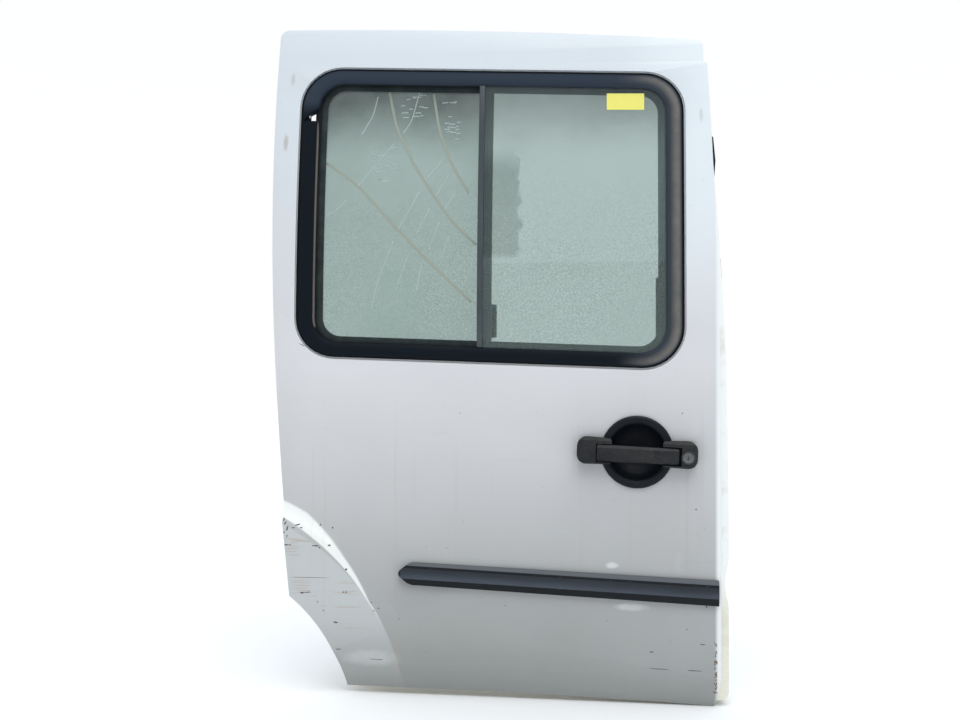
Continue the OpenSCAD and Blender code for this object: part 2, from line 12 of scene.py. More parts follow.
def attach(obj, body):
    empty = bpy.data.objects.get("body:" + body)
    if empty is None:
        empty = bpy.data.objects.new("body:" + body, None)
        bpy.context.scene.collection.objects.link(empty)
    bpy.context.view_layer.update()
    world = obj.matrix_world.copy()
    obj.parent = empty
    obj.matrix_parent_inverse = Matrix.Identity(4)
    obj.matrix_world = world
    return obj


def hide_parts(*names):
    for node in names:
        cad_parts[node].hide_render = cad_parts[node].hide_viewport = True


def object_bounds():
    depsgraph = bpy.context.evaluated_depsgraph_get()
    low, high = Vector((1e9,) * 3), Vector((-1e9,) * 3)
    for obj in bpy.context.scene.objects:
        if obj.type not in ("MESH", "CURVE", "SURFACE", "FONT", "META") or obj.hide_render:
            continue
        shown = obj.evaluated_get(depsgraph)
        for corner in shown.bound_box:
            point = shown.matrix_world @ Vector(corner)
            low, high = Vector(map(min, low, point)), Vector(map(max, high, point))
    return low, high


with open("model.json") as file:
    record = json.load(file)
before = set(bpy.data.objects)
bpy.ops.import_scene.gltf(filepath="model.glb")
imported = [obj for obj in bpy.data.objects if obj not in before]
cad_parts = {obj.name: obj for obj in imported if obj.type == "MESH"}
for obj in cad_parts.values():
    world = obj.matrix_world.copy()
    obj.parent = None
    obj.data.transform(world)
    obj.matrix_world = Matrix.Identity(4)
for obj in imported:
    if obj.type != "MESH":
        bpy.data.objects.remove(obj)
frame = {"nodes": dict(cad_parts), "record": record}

bl_info = {
    "name": "Van sliding door",
    "version": (1, 0, 0),
    "blender": (4, 5, 0),
    "location": "3D View > Sidebar > Door",
    "description": "Dresses a van's sliding side door with rounded panels, glass, seals and wear",
    "category": "Object",
}

CAD_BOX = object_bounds()
BODY = {"handle_grip": "grip", "lock_plug": "plug"}
SLOTS = {p["node"]: p["material_slot"] for p in frame["record"]["subparts"]}


# Places of the door's own drawing, in millimetres
ORIGIN = (318, 83, 92)
BELT, LEAN_RADIUS = 588, 2900
WINDOW_LEFT, WINDOW_RIGHT, WINDOW_CORNER = -351, 339, 70
WINDOW_TOP, WINDOW_TOP_FALL = 1122, 0.049
WINDOW_LOW, WINDOW_LOW_FALL = 597, 0.036
WINDOW_SIDE_SHARE = 1.18  # the frame is this much wider down its sides than along its top
REAR_PANE, FRONT_PANE = 24, 8
ARCH = (-550, -55)
FLARE_CREST, FLARE_FOOT = 403, 438
MOULDING_TIP, MOULDING_FALL = (-168, 221), 0.04
HANDLE_MIDDLE, HANDLE_HALF_SIZE = (259, 440), (115, 75)
FLARE_EDGE = -150
MOULDING_HEIGHT, MOULDING_HALF_BAND = 217, 34
CARD_MIDDLE, CARD_SIZE, CARD_FALL = (239, 1060.5), (66, 30), 0.03
CAMERA_PLACE, CAMERA_LENS, CAMERA_TURN = (244, -1985, 600), 42.4, 7.47

# Sections of the rings round the window: insets from its outline and depths, in millimetres
FRAME_SECTION = ((1.2, 3.9), (1.0, 0.3), (-1.2, 0.1), (-1.6, -0.3), (-1.2, -0.6), (0.2, -0.8),
                 (1.6, -0.5), (2.8, 0.1), (7, -0.1), (12, 0), (16, 0.4), (19.5, 1.3), (22.4, 2.8),
                 (24.2, 5), (25, 8), (25, 33), (24.2, 34), (15.4, 34), (14.5, 33), (14.5, 4.2))
SEAL_SECTION = ((19.5, 12.2), (24.6, 12.2), (26.4, 12.6), (26.9, 13.4), (26.4, 14.4), (24.6, 15),
                (19.5, 15))
GUIDE_SECTION = ((24.6, 19.6), (35.6, 19.6), (36.4, 20), (36.4, 20.8), (24.6, 20.8))

# Small sizes and heights of the frame, in metres
BUFFER_PRESSED_IN = 0.0018
MARK_LIFT = 0.00012  # how far a chip or scratch stands off the paint
FLOOR_GAP = 0.001
SIGHT_LINE = 0.684  # height below which the panes carry painted shade and the guide band is dark green


def at(x, y, z):
    """A point of the door's drawing, as a point of the frame in metres."""
    return Vector(tuple((v - o) / 1000 for v, o in zip((x, y, z), ORIGIN)))


def lean(z):
    """How far the skin leans inward at height z."""
    return 0 if z <= BELT else LEAN_RADIUS - math.sqrt(LEAN_RADIUS ** 2 - (z - BELT) ** 2)


def skin_surface():
    """A function that finds points of the skin's outer face."""
    node = frame["nodes"]["outer_skin"]
    tree = BVHTree.FromPolygons([v.co for v in node.data.vertices],
                                [p.vertices[:] for p in node.data.polygons])

    def touch(x, z):
        """The skin at x and z, or just inside its rear edge, with its outward direction."""
        for inward in range(0, 16, 2):
            hit, normal, _, _ = tree.ray_cast(at(x + inward, -200, z), Vector((0, 1, 0)))
            if hit is not None:
                return hit, normal
        raise RuntimeError(f"no skin at {x:.0f}, {z:.0f}")
    return touch


def fillet(a, b, c, radius, steps):
    """Points of the arc that rounds the corner b between a and c."""
    u, v = (a - b).normalized(), (c - b).normalized()
    half = u.angle(v) / 2
    middle = b + (u + v).normalized() * radius / math.sin(half)
    start, end = (b + w * radius / math.tan(half) - middle for w in (u, v))
    return [middle + start.slerp(end, i / steps) * radius for i in range(steps + 1)]


def window_loop(inset, depth, steps=10):
    """Points of the window outline moved inward by inset, at a depth behind the skin."""
    def corner(x, height, fall, side):
        return Vector((x, height - fall * x - side))
    sideways = inset * WINDOW_SIDE_SHARE
    left, right = WINDOW_LEFT + sideways, WINDOW_RIGHT - sideways
    corners = [corner(left, WINDOW_TOP, WINDOW_TOP_FALL, inset),
               corner(right, WINDOW_TOP, WINDOW_TOP_FALL, inset),
               corner(right, WINDOW_LOW, WINDOW_LOW_FALL, -inset),
               corner(left, WINDOW_LOW, WINDOW_LOW_FALL, -inset)]
    points, radius = [], max(WINDOW_CORNER - inset, 4)
    for i, point in enumerate(corners):
        points += fillet(corners[i - 1], point, corners[(i + 1) % 4], radius, steps)
    full = []
    for one, other in zip(points, points[1:] + points[:1]):
        parts = max(1, int((other - one).length / 25))
        full += [one.lerp(other, i / parts) for i in range(parts)]
    return [at(x, lean(z) + depth, z) for x, z in full]


# Meshes
def settle(bm, name, slot, body="door", replaces=(), smooth=32):
    """Turns a bmesh into a finished piece that rides on its body."""
    mesh = bpy.data.meshes.new(name)
    bm.to_mesh(mesh)
    bm.free()
    mesh.shade_smooth()
    mesh.set_sharp_from_angle(angle=math.radians(smooth))
    obj = bpy.data.objects.new(name, mesh)
    bpy.context.scene.collection.objects.link(obj)
    obj.data.materials.append(finish(slot))
    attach(obj, body)
    if replaces:
        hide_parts(*replaces)
    return obj


def merged(node, flat=0.3):
    """A copy of a CAD node with its loose triangles joined and its flat faces made whole."""
    bm = bmesh.new()
    bm.from_mesh(frame["nodes"][node].data)
    bmesh.ops.remove_doubles(bm, verts=bm.verts, dist=2e-6)
    bmesh.ops.dissolve_limit(bm, angle_limit=math.radians(flat), verts=bm.verts, edges=bm.edges)
    return bm


def bend(edge):
    """How far the faces of an edge turn away from each other, outward turns being positive."""
    return edge.calc_face_angle_signed(0) if len(edge.link_faces) == 2 else 0


def round_edges(bm, width, segments=3, least=30, where=lambda e: True, wear=True):
    """Rounds the outward edges sharper than an angle, and marks them for wear."""
    layer = bm.verts.layers.float.get("wear") or bm.verts.layers.float.new("wear")
    edges = [e for e in bm.edges if bend(e) > math.radians(least) and where(e)]
    if not edges:
        return
    made = bmesh.ops.bevel(bm, geom=edges, offset=width, offset_type="OFFSET",
                           segments=segments, profile=0.5, affect="EDGES",
                           clamp_overlap=True, material=-1)
    if wear:
        fresh = set(made["faces"])
        for face in fresh:
            for vert in face.verts:
                if all(f in fresh for f in vert.link_faces):
                    vert[layer] = 1


def rounded_node(node, width, segments=3, least=30):
    """A CAD node with its sharp edges rounded, which takes that node's place."""
    bm = merged(node)
    round_edges(bm, width, segments, least)
    bm.normal_update()
    return settle(bm, node + "_finished", SLOTS[node], BODY.get(node, "door"), (node,))


def loft(name, stations, slot, replaces=()):
    """A closed ring swept through window outlines, each given as inset and depth."""
    bm = bmesh.new()
    across = bm.verts.layers.float.new("across")
    first = [bm.verts.new(p) for p in window_loop(*stations[0])]
    for vert in first:
        vert[across] = stations[0][0]
    edges = [bm.edges.new((a, b)) for a, b in zip(first, first[1:] + first[:1])]
    ring = first
    for station in stations[1:]:
        made = bmesh.ops.extrude_edge_only(bm, edges=edges)["geom"]
        edges = [g for g in made if isinstance(g, bmesh.types.BMEdge)
                 and all(v not in ring for v in g.verts)]
        pairs = {}
        for v in [g for g in made if isinstance(g, bmesh.types.BMVert)]:
            mate = next(e.other_vert(v) for e in v.link_edges if e.other_vert(v) in ring)
            pairs[mate] = v
        ring = [pairs[v] for v in ring]
        for vert, place in zip(ring, window_loop(*station)):
            vert.co, vert[across] = place, station[0]
    start = [e for e in bm.edges if all(v in first for v in e.verts)]
    bmesh.ops.bridge_loops(bm, edges=edges + start)
    bmesh.ops.recalc_face_normals(bm, faces=bm.faces)
    return settle(bm, name, slot, replaces=replaces, smooth=40)


# Materials
class Nodes:
    """Short names for building a node material on the piece's own coordinates."""

    def __init__(self, name):
        self.mat = bpy.data.materials.new(name)
        self.mat.use_nodes = True
        self.tree = self.mat.node_tree
        self.shader = self.tree.nodes["Principled BSDF"]
        self.coords = self.tree.nodes.new("ShaderNodeTexCoord").outputs["Object"]

    def add(self, kind, inputs=(), **values):
        """A new node with its settings and its inputs, each a value or a link."""
        node = self.tree.nodes.new(kind)
        for key, value in values.items():
            setattr(node, key, value)
        for key, value in dict(inputs).items():
            self.put(node.inputs[key], value)
        return node

    def put(self, socket, value):
        """Links a socket to another, or sets its value."""
        if isinstance(value, bpy.types.NodeSocket):
            self.tree.links.new(value, socket)
        else:
            socket.default_value = value

    def mapped(self, scale=(1, 1, 1), turn=(0, 0, 0)):
        """The piece's coordinates, stretched and turned."""
        return self.add("ShaderNodeMapping", {"Vector": self.coords, "Scale": scale,
                                              "Rotation": turn}).outputs[0]

    def noise(self, scale, detail=4, rough=0.55, coords=None):
        """Cloudy noise from 0 to 1."""
        node = self.add("ShaderNodeTexNoise", {"Vector": coords or self.coords, "Scale": scale,
                                               "Detail": detail, "Roughness": rough})
        return node.outputs["Fac"]

    def math(self, operation, a, b=0.0, clamp=False):
        """One sum of two numbers."""
        node = self.add("ShaderNodeMath", {0: a, 1: b}, operation=operation)
        node.use_clamp = clamp
        return node.outputs[0]

    def times(self, *values):
        """The product of shares that each run from 0 to 1."""
        product = values[0]
        for value in values[1:]:
            product = self.math("MULTIPLY", product, value, True)
        return product

    def span(self, value, low, high, out_low=0.0, out_high=1.0):
        """A value moved straight from one range to another."""
        return self.add("ShaderNodeMapRange", {"Value": value, "From Min": low, "From Max": high,
                                               "To Min": out_low, "To Max": out_high}).outputs[0]

    def smooth(self, value, low, high, out_low=0.0, out_high=1.0):
        """A value eased from one range to another."""
        return self.add("ShaderNodeMapRange", {"Value": value, "From Min": low, "From Max": high,
                                               "To Min": out_low, "To Max": out_high},
                        interpolation_type="SMOOTHSTEP").outputs[0]

    def blend(self, factor, a, b):
        """A colour between a and b."""
        node = self.add("ShaderNodeMix", data_type="RGBA")
        self.put(node.inputs["Factor"], factor)
        self.put(node.inputs[6], a)
        self.put(node.inputs[7], b)
        return node.outputs[2]

    def axis(self, index):
        """The place along X, Y or Z in metres."""
        return self.add("ShaderNodeSeparateXYZ", {0: self.coords}).outputs[index]

    def attribute(self, name):
        """A number kept on the piece's vertices."""
        return self.add("ShaderNodeAttribute", attribute_name=name).outputs["Fac"]

    def wear(self):
        """How much an edge is rubbed, from 0 to 1."""
        return self.attribute("wear")

    def patch(self, x, z, wide, high, strength=1.0):
        """A soft oval spot at a place of the drawing, in millimetres."""
        middle = at(x, 0, z)
        along = self.math("SUBTRACT", self.axis(0), middle.x)
        up = self.math("SUBTRACT", self.axis(2), middle.z)
        u, w = self.math("MULTIPLY", along, 1000 / wide), self.math("MULTIPLY", up, 1000 / high)
        far = self.math("ADD", self.math("MULTIPLY", u, u), self.math("MULTIPLY", w, w))
        ragged = self.math("ADD", far, self.noise(90, 4), 0)
        return self.smooth(ragged, 1.5, 0.5, 0, strength)

    def bump(self, height, strength, distance):
        """Raises the surface's fine relief by a height."""
        node = self.add("ShaderNodeBump", {"Height": height, "Strength": strength,
                                           "Distance": distance})
        self.put(self.shader.inputs["Normal"], node.outputs[0])

    def set(self, **values):
        """Sets the shader's own sockets, named with underscores for spaces."""
        for key, value in values.items():
            self.put(self.shader.inputs[key.replace("_", " ")], value)


def rgba(colour, factor=1.0):
    """A colour with full alpha, made darker by a factor."""
    return tuple(c * factor for c in colour[:3]) + (1.0,)


def paint(colour, grime_and_shade):
    """Worn gloss paint: greyer toward the bottom from road film and painted shade, with a painted
    sky reflection at the top, painted highlights on the flare's crest and the rolled front edge,
    and scraped below the crest.
    """
    n = Nodes("white paint")
    wander = n.math("MULTIPLY", n.math("SUBTRACT", n.noise(3.5, 5), 0.5), 0.12)
    height = n.math("ADD", n.axis(2), wander)
    # Partly road film, partly painted shade: the paint greys toward the bottom.
    film = n.span(height, 0.50, -0.09)
    base = n.blend(film, rgba(colour), rgba(grime_and_shade))
    # Painted sky reflection: the paint turns bluer toward the top.
    base = n.blend(n.smooth(height, 0.55, 1.0, 0, 0.8), base, (0.69, 0.745, 0.785, 1))
    front = n.times(n.smooth(n.axis(0), -0.12, 0.06), n.smooth(n.axis(2), 0.52, 0.80))
    base = n.blend(n.times(front, 0.75), base, (0.84, 0.89, 0.92, 1))
    cloud = n.span(n.noise(2.2, 4), 0.35, 0.7, 0, 0.12)
    base = n.blend(cloud, base, (0.50, 0.53, 0.57, 1))

    dx = n.math("SUBTRACT", n.axis(0), at(ARCH[0], 0, 0).x)
    dz = n.math("SUBTRACT", n.axis(2), at(0, 0, ARCH[1]).z)
    squares = (n.math("MULTIPLY", side, side) for side in (dx, dz))
    reach = n.math("SQRT", n.math("ADD", *squares))
    turn = n.math("ARCTAN2", dz, dx)
    crest, foot = FLARE_CREST / 1000, FLARE_FOOT / 1000
    outer = n.span(turn, math.radians(34), math.radians(60), crest - 0.001, foot)
    inner = n.span(turn, math.radians(34), math.radians(64), crest - 0.003, crest + 0.010)
    band = n.times(n.smooth(n.math("SUBTRACT", reach, inner), -0.002, 0.001),
                   n.smooth(n.math("SUBTRACT", outer, reach), -0.002, 0.003),
                   n.smooth(turn, math.radians(24), math.radians(36)))
    face = n.times(n.smooth(reach, crest, crest - 0.004), n.smooth(n.axis(2), -0.11, 0.10))
    base = n.blend(n.times(face, 0.85), base, (0.55, 0.57, 0.57, 1))
    # Painted highlight: a pale band along the flare's crest.
    base = n.blend(n.times(band, 0.95), base, (0.92, 0.92, 0.89, 1))
    lines = n.noise(1, 6, 0.75, n.mapped((6, 1, 95), (0, -0.04, 0)))
    region = n.noise(9, 3)
    brown = n.times(n.span(lines, 0.58, 0.68, 0, 0.6), n.span(region, 0.40, 0.56), face)
    base = n.blend(brown, base, (0.40, 0.27, 0.15, 1))
    dark = n.times(n.span(lines, 0.33, 0.25, 0, 0.8), n.span(region, 0.48, 0.60), face)
    base = n.blend(dark, base, (0.08, 0.07, 0.07, 1))

    runs = n.span(n.noise(1, 6, 0.6, n.mapped((60, 1, 1.3))), 0.60, 0.80, 0, 0.25)
    low = n.smooth(n.axis(2), 0.50, 0.30)
    base = n.blend(n.times(runs, low), base, (0.44, 0.36, 0.26, 1))
    rubs = n.noise(1, 5, 0.7, n.mapped((3, 1, 55), (0, 0.03, 0)))
    rubbed = n.times(n.span(rubs, 0.60, 0.76, 0, 0.22), film)
    base = n.blend(rubbed, base, (0.25, 0.26, 0.26, 1))
    for x, strength in ((-0.071, 0.30), (-0.487, 0.22), (-0.616, 0.15)):
        away = n.math("ABSOLUTE", n.math("SUBTRACT", n.axis(0), x))
        stripe = n.span(away, 0.004, 0.0, 0, strength)
        patchy = n.span(n.noise(1, 3, 0.5, n.mapped((30, 1, 5))), 0.40, 0.62)
        base = n.blend(n.times(stripe, patchy, low), base, (0.50, 0.36, 0.22, 1))
    spots = n.span(n.noise(150, 3), 0.71, 0.78, 0, 0.4)
    base = n.blend(spots, base, (0.40, 0.36, 0.31, 1))
    for x, z, wide, high, strength, tone in paint_smudges():
        base = n.blend(n.patch(x, z, wide, high, strength), base, tone)
    # Painted highlight along the rolled front edge of the skin.
    hem_highlight = n.smooth(n.axis(0), 0.073, 0.081, 0, 0.85)
    base = n.blend(hem_highlight, base, (0.93, 0.95, 0.95, 1))
    n.set(Base_Color=base, Roughness=n.span(n.noise(24, 4), 0.2, 0.8, 0.30, 0.46),
          Coat_Weight=0.3, Coat_Roughness=0.15)
    n.bump(n.math("ADD", n.noise(420, 2), n.math("MULTIPLY", lines, face)), 0.04, 0.0004)
    return n.mat


def paint_smudges():
    """Soft smudges of the paint: place, half width, half height, strength and colour."""
    grey, pale, brown = (0.52, 0.54, 0.55, 1), (0.90, 0.91, 0.90, 1), (0.36, 0.30, 0.24, 1)
    return ((371, 1029, 5, 17, 0.55, grey), (216, 242, 14, 7, 0.5, pale),
            (216, 419, 6, 5, 0.5, grey), (-380, 1000, 6, 20, 0.5, brown),
            (-372, 1120, 5, 14, 0.35, brown), (-90, 470, 22, 3, 0.25, grey),
            (-215, 66, 60, 18, 0.22, pale), (250, 170, 34, 9, 0.35, pale),
            (330, 250, 8, 26, 0.25, grey), (-280, 628, 20, 7, 0.3, brown),
            (-200, 395, 14, 4, 0.25, grey), (120, 300, 30, 6, 0.2, grey))


def inner_paint(colour, cream):
    """Thinner satin paint, cream and ribbed low on the front rim."""
    n = Nodes("inner paint")
    low = n.smooth(n.axis(2), 0.14, 0.06)
    base = n.blend(low, rgba(colour), rgba(cream))
    dirt = n.span(n.noise(11, 6, 0.65), 0.52, 0.74, 0, 0.45)
    base = n.blend(dirt, base, (0.42, 0.38, 0.30, 1))
    ribs = n.math("SINE", n.math("MULTIPLY", n.axis(2), 1700))
    rim = n.times(low, n.span(n.axis(0), 0.082, 0.090))
    n.set(Base_Color=base, Roughness=n.span(n.noise(30), 0.2, 0.8, 0.42, 0.6))
    n.bump(n.math("ADD", n.math("MULTIPLY", ribs, rim), n.noise(300, 3)), 0.2, 0.0006)
    return n.mat


def plastic(name, colour, dust, grain=900, rough=(0.5, 0.68), edge=0.35, strength=0.22,
            gloss=0.3):
    """Moulded plastic with a fine grain, faded patches and worn edges."""
    n = Nodes(name)
    fade = n.span(n.noise(14, 5, 0.6), 0.42, 0.75, 0, 0.6)
    base = n.blend(fade, rgba(colour), rgba(dust))
    scuff = n.times(n.wear(), n.span(n.noise(90, 5, 0.7), 0.45, 0.66), edge)
    base = n.blend(scuff, base, (0.30, 0.29, 0.27, 1))
    n.set(Base_Color=base, Roughness=n.span(n.noise(20, 4), 0.2, 0.8, *rough),
          Specular_IOR_Level=gloss)
    cells = n.add("ShaderNodeTexVoronoi", {"Vector": n.coords, "Scale": grain}).outputs["Distance"]
    n.bump(cells, strength, 0.0003)
    return n.mat


def handle_plastic(colour):
    """Blue-black inside the dish, dusty grey with pale worn edges on the lugs and the grip."""
    n = Nodes("handle plastic")
    outward = n.smooth(n.axis(1), at(0, -9, 0).y, at(0, -15, 0).y)
    blotch = n.span(n.noise(26, 6, 0.7), 0.35, 0.7)
    dusty = n.blend(blotch, (0.009, 0.011, 0.015, 1), (0.034, 0.032, 0.031, 1))
    base = n.blend(outward, rgba(colour), dusty)
    fine = n.span(n.noise(420, 3), 0.58, 0.75, 0, 0.35)
    base = n.blend(n.times(fine, outward), base, (0.12, 0.11, 0.10, 1))
    worn = n.times(n.wear(), n.span(n.noise(60, 5, 0.7), 0.40, 0.60),
                   n.span(outward, 0, 1, 0.12, 0.6))
    base = n.blend(worn, base, (0.26, 0.24, 0.21, 1))
    n.set(Base_Color=base, Roughness=n.span(n.noise(20, 4), 0.2, 0.8, 0.42, 0.6),
          Specular_IOR_Level=0.22)
    cells = n.add("ShaderNodeTexVoronoi", {"Vector": n.coords, "Scale": 1300}).outputs["Distance"]
    n.bump(cells, 0.2, 0.0003)
    return n.mat


def frame_plastic(colour, dust):
    """The window frame: near black, greyer along the top and down its front side, with dust and a
    painted highlight on its front crown, light brown on its rear reveal.
    """
    n = Nodes("black frame")
    across = n.attribute("across")
    front = n.smooth(n.axis(0), -0.10, 0.0)
    above = n.smooth(n.axis(2), 0.955, 0.992)
    base = n.blend(n.times(above, 0.9), rgba(colour), (0.036, 0.049, 0.070, 1))
    base = n.blend(n.times(front, 0.8), base, (0.052, 0.064, 0.078, 1))
    # Dust and a painted highlight on the crown of the front side, patchy with cloudy noise.
    crown = n.times(front, n.span(across, 2.5, 6.0), n.span(across, 19.0, 10.0))
    cloudy = n.span(n.noise(26, 6, 0.7), 0.25, 0.7, 0.5, 1.0)
    base = n.blend(n.times(crown, cloudy), base, rgba(dust))
    reach = max(inset for inset, _ in FRAME_SECTION)
    wall = at(WINDOW_LEFT + reach * WINDOW_SIDE_SHARE, 0, 0).x
    reveal = n.times(n.smooth(n.axis(0), wall + 0.004, wall + 0.001),
                     n.smooth(across, 23.0, 24.6), n.smooth(n.axis(1), -0.036, -0.044),
                     n.smooth(n.axis(2), 0.955, 0.935), 0.75)
    base = n.blend(reveal, base, (0.25, 0.22, 0.20, 1))
    fine = n.span(n.noise(520, 3), 0.55, 0.75, 0, 0.3)
    base = n.blend(n.times(fine, crown), base, (0.24, 0.22, 0.20, 1))
    base = n.blend(n.smooth(across, 2.4, 1.2), base, (0.004, 0.005, 0.006, 1))
    n.set(Base_Color=base, Roughness=n.span(n.noise(20, 4), 0.2, 0.8, 0.5, 0.66),
          Specular_IOR_Level=0.07)
    cells = n.add("ShaderNodeTexVoronoi", {"Vector": n.coords, "Scale": 1100}).outputs["Distance"]
    n.bump(cells, 0.2, 0.0003)
    return n.mat


def guide_band():
    """Printed band behind the front pane: grey-blue above, dark green below."""
    n = Nodes("guide band")
    high = n.smooth(n.axis(2), SIGHT_LINE - 0.008, SIGHT_LINE)
    front = n.smooth(n.axis(0), -0.345, -0.325)
    base = n.blend(n.times(high, front), (0.010, 0.018, 0.018, 1), (0.19, 0.26, 0.34, 1))
    base = n.blend(n.span(n.noise(40, 4), 0.4, 0.7, 0, 0.4), base, (0.05, 0.065, 0.07, 1))
    n.set(Base_Color=base, Roughness=n.span(n.noise(60), 0.2, 0.8, 0.4, 0.6),
          Specular_IOR_Level=0.3)
    n.bump(n.noise(300), 0.1, 0.0002)
    return n.mat


def moulding_plastic(bevel, face, painted_shade):
    """Faded plastic: a navy face, a painted highlight on the upper bevel, painted shade in the
    groove under it and on the bottom bevel, and the tip's end dark too.
    """
    n = Nodes("moulding plastic")
    along = n.math("SUBTRACT", n.axis(0), at(MOULDING_TIP[0], 0, 0).x)
    rise = n.math("SUBTRACT", n.axis(2), at(0, 0, MOULDING_TIP[1]).z)
    up = n.math("ADD", rise, n.math("MULTIPLY", along, MOULDING_FALL))
    fade = n.span(n.noise(1, 5, 0.6, n.mapped((8, 1, 60))), 0.3, 0.7, 0.85, 1.12)
    tone = n.blend(n.smooth(up, 0.009, -0.008), rgba(face, 0.42), rgba(face, 0.9))
    tone = n.add("ShaderNodeVectorMath", {0: tone, "Scale": fade}, operation="SCALE").outputs[0]
    # Painted shade in the groove under the upper bevel; the tip's first few millimetres take the
    # same dark colour.
    border = n.times(n.smooth(up, 0.0112, 0.0100), n.smooth(along, 0.008, 0.012))
    base = n.blend(border, rgba(painted_shade), tone)
    # Painted highlight on the upper bevel.
    base = n.blend(n.smooth(up, 0.0145, 0.0155), base, rgba(bevel))
    # Painted shade on the bottom bevel.
    base = n.blend(n.smooth(up, -0.0078, -0.0090), base, rgba(painted_shade))
    scuff = n.times(n.wear(), n.span(n.noise(70, 5, 0.75), 0.60, 0.70), 0.3)
    base = n.blend(scuff, base, (0.30, 0.30, 0.29, 1))
    n.set(Base_Color=base, Roughness=n.span(n.noise(30, 4), 0.2, 0.8, 0.42, 0.56),
          Specular_IOR_Level=0.2)
    cells = n.add("ShaderNodeTexVoronoi", {"Vector": n.coords, "Scale": 700}).outputs["Distance"]
    n.bump(cells, 0.12, 0.0003)
    return n.mat


def metal(name, colour, rough=(0.25, 0.45), rust=0.25):
    """Plated or bare steel with a brushed grain and light surface rust."""
    n = Nodes(name)
    spots = n.span(n.noise(70, 6, 0.7), 0.56, 0.72, 0, rust)
    base = n.blend(spots, rgba(colour), (0.24, 0.11, 0.05, 1))
    brushed = n.noise(1, 4, 0.6, n.mapped((1500, 260, 60)))
    n.set(Base_Color=base, Metallic=n.math("SUBTRACT", 0.95, spots),
          Roughness=n.span(brushed, 0.2, 0.8, *rough))
    n.bump(brushed, 0.08, 0.0002)
    return n.mat


def glass(name, colour, top):
    """Green tinted glass with a film of fine dried droplets, painted shade toward the top and
    below the sight line, and a painted reflection patch on the front pane.
    """
    n = Nodes(name)
    wander = n.math("MULTIPLY", n.math("SUBTRACT", n.noise(5, 4), 0.5), 0.10)
    height = n.math("ADD", n.axis(2), wander)
    # Painted shade under the top of the frame: darker toward the top.
    base = n.blend(n.smooth(height, 0.86, 1.02), rgba(colour), rgba(colour, top))
    # Painted shade: darker and greener below SIGHT_LINE, where what shows through the panes is
    # dark.
    below = n.smooth(n.axis(2), SIGHT_LINE, SIGHT_LINE - 0.006, 0, 0.35)
    base = n.blend(below, base, (0.34, 0.45, 0.41, 1))
    # Painted reflection: a darker, greener patch with a wavy edge on the front pane.
    shade = n.math("ADD", n.axis(0), n.math("MULTIPLY", n.noise(22, 5, 0.7), 0.08))
    darker = n.times(n.smooth(shade, -0.222, -0.232), n.smooth(n.axis(0), -0.345, -0.335),
                     n.smooth(n.axis(2), SIGHT_LINE, SIGHT_LINE + 0.016),
                     n.smooth(n.axis(2), 0.90, 0.84), 0.6)
    base = n.blend(darker, base, (0.17, 0.24, 0.22, 1))
    cloud = n.span(n.noise(7, 5, 0.6), 0.35, 0.7, 0, 0.25)
    base = n.blend(cloud, base, (0.52, 0.62, 0.60, 1))
    cells = n.add("ShaderNodeTexVoronoi", {"Vector": n.coords, "Scale": 300}).outputs["Distance"]
    low = n.smooth(n.axis(2), 0.90, 0.70, 0.35, 1.0)
    wet = n.times(low, n.span(n.noise(5, 3), 0.35, 0.6, 0.35, 1.0))
    drops = n.times(n.span(cells, 0.20, 0.45, 1, 0), wet)
    base = n.blend(n.times(drops, 0.28), base, (0.74, 0.83, 0.80, 1))
    rims = n.times(n.span(cells, 0.45, 0.62, 0, 0.18), wet)
    base = n.blend(rims, base, (0.20, 0.27, 0.25, 1))
    n.set(Base_Color=base, Transmission_Weight=0.86, IOR=1.5,
          Roughness=n.span(cloud, 0, 0.25, 0.06, 0.16))
    n.bump(drops, 0.12, 0.0004)
    return n.mat


def label_card():
    """Plain yellow card with a faint fibre."""
    n = Nodes("label card")
    fibre = n.noise(260, 4)
    n.set(Base_Color=n.blend(fibre, (0.92, 0.86, 0.20, 1), (0.84, 0.77, 0.15, 1)),
          Roughness=n.span(fibre, 0.2, 0.8, 0.45, 0.6))
    n.bump(fibre, 0.1, 0.0002)
    return n.mat


def bare_marks(name, colour, other):
    """Primer, rust or dark metal where the paint has come off."""
    n = Nodes(name)
    patch = n.noise(500, 4)
    n.set(Base_Color=n.blend(patch, rgba(colour), rgba(other)),
          Roughness=n.span(patch, 0.2, 0.8, 0.6, 0.85))
    n.bump(patch, 0.3, 0.0003)
    return n.mat


MADE = {}


